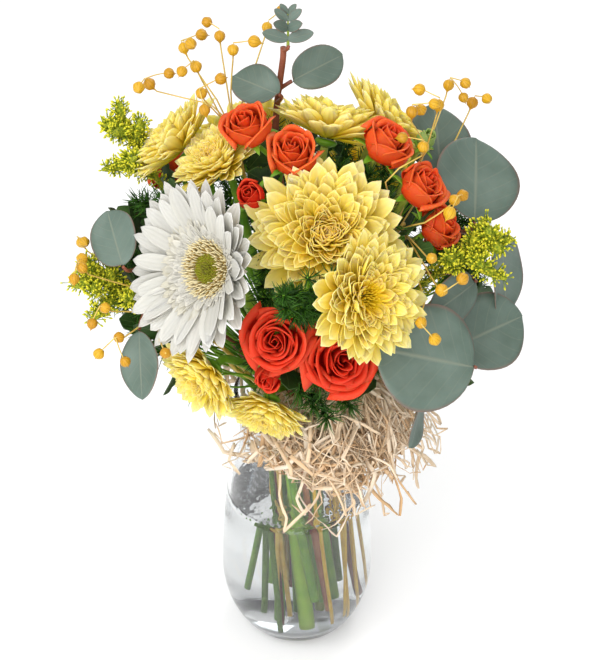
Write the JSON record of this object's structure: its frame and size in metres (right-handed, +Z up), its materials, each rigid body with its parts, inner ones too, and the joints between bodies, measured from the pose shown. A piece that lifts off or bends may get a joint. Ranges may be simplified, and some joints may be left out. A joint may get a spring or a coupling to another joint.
{
  "type": "vase of cut flowers",
  "caption": "Clear glass vase of water holding a mixed bouquet of lemon chrysanthemums, a white gerbera, coral spray roses, eucalyptus and dried flax, with a nest of raffia at the rim.",
  "frame": {"origin": "centre of the vase's underside, where it stands", "axes": "+Z up the vase's axis, -Y towards the bouquet's face, +X to the right of someone looking at that face"},
  "size_m": [0.2857, 0.2766, 0.4614],
  "materials": {
    "glass": "clear polished glass",
    "water": "clear still water",
    "white_petal": "soft matte petal, white",
    "gerbera_eye": "rough, yellow-green",
    "lemon_petal": "soft matte petal, pale lemon with a deeper middle",
    "coral_petal": "soft matte petal, orange-red",
    "rosebud_green": "soft matte petal, pale green",
    "green_stem": "semi-matte green stem",
    "red_twig": "semi-matte red-brown twig",
    "eucalyptus_leaf": "waxy grey-green leaf",
    "flax_gold": "dry golden pod and straw stalk",
    "goldenrod": "tiny yellow-green florets",
    "fern_green": "fine bright-green needles",
    "raffia": "dry pale straw ribbon"
  },
  "bodies": {
    "root": {"chrysanthemum_a": "lemon_petal", "chrysanthemum_b": "lemon_petal", "chrysanthemum_c": "lemon_petal", "chrysanthemum_d": "lemon_petal", "chrysanthemum_e": "lemon_petal", "chrysanthemum_f": "lemon_petal", "chrysanthemum_g": "lemon_petal", "chrysanthemum_h": "lemon_petal", "chrysanthemum_i": "lemon_petal", "chrysanthemum_j": "lemon_petal", "chrysanthemum_stem_a": "green_stem", "chrysanthemum_stem_b": "green_stem", "chrysanthemum_stem_c": "green_stem", "chrysanthemum_stem_e": "green_stem", "chrysanthemum_stem_g": "green_stem", "chrysanthemum_stem_i": "green_stem", "eucalyptus_left": "red_twig", "eucalyptus_left_leaf_1": "eucalyptus_leaf", "eucalyptus_left_leaf_2": "eucalyptus_leaf", "eucalyptus_low": "red_twig", "eucalyptus_low_leaf_1": "eucalyptus_leaf", "eucalyptus_low_leaf_2": "eucalyptus_leaf", "eucalyptus_low_leaf_3": "eucalyptus_leaf", "eucalyptus_right": "red_twig", "eucalyptus_right_leaf_1": "eucalyptus_leaf", "eucalyptus_right_leaf_2": "eucalyptus_leaf", "eucalyptus_right_leaf_3": "eucalyptus_leaf", "eucalyptus_right_leaf_4": "eucalyptus_leaf", "eucalyptus_top": "red_twig", "eucalyptus_top_leaf_1": "eucalyptus_leaf", "eucalyptus_top_leaf_2": "eucalyptus_leaf", "eucalyptus_top_leaf_3": "eucalyptus_leaf", "fern_back": "fern_green", "fern_front": "fern_green", "flax_left": "flax_gold", "flax_right": "flax_gold", "flax_top_left": "flax_gold", "gerbera_eye": "gerbera_eye", "gerbera_head": "white_petal", "gerbera_stem": "green_stem", "goldenrod_left": "goldenrod", "goldenrod_right": "goldenrod", "goldenrod_top_left": "goldenrod", "raffia": "raffia", "rose_a": "coral_petal", "rose_b": "coral_petal", "rose_c": "coral_petal", "rose_d": "coral_petal", "rose_e": "coral_petal", "rose_f": "coral_petal", "rose_g": "coral_petal", "rose_h": "coral_petal", "rose_i": "coral_petal", "rose_j": "coral_petal", "rose_stem_a": "green_stem", "rose_stem_d": "green_stem", "rose_stem_g": "green_stem", "rosebud_green": "rosebud_green", "vase": "glass", "water": "water"}
  },
  "joints": []
}
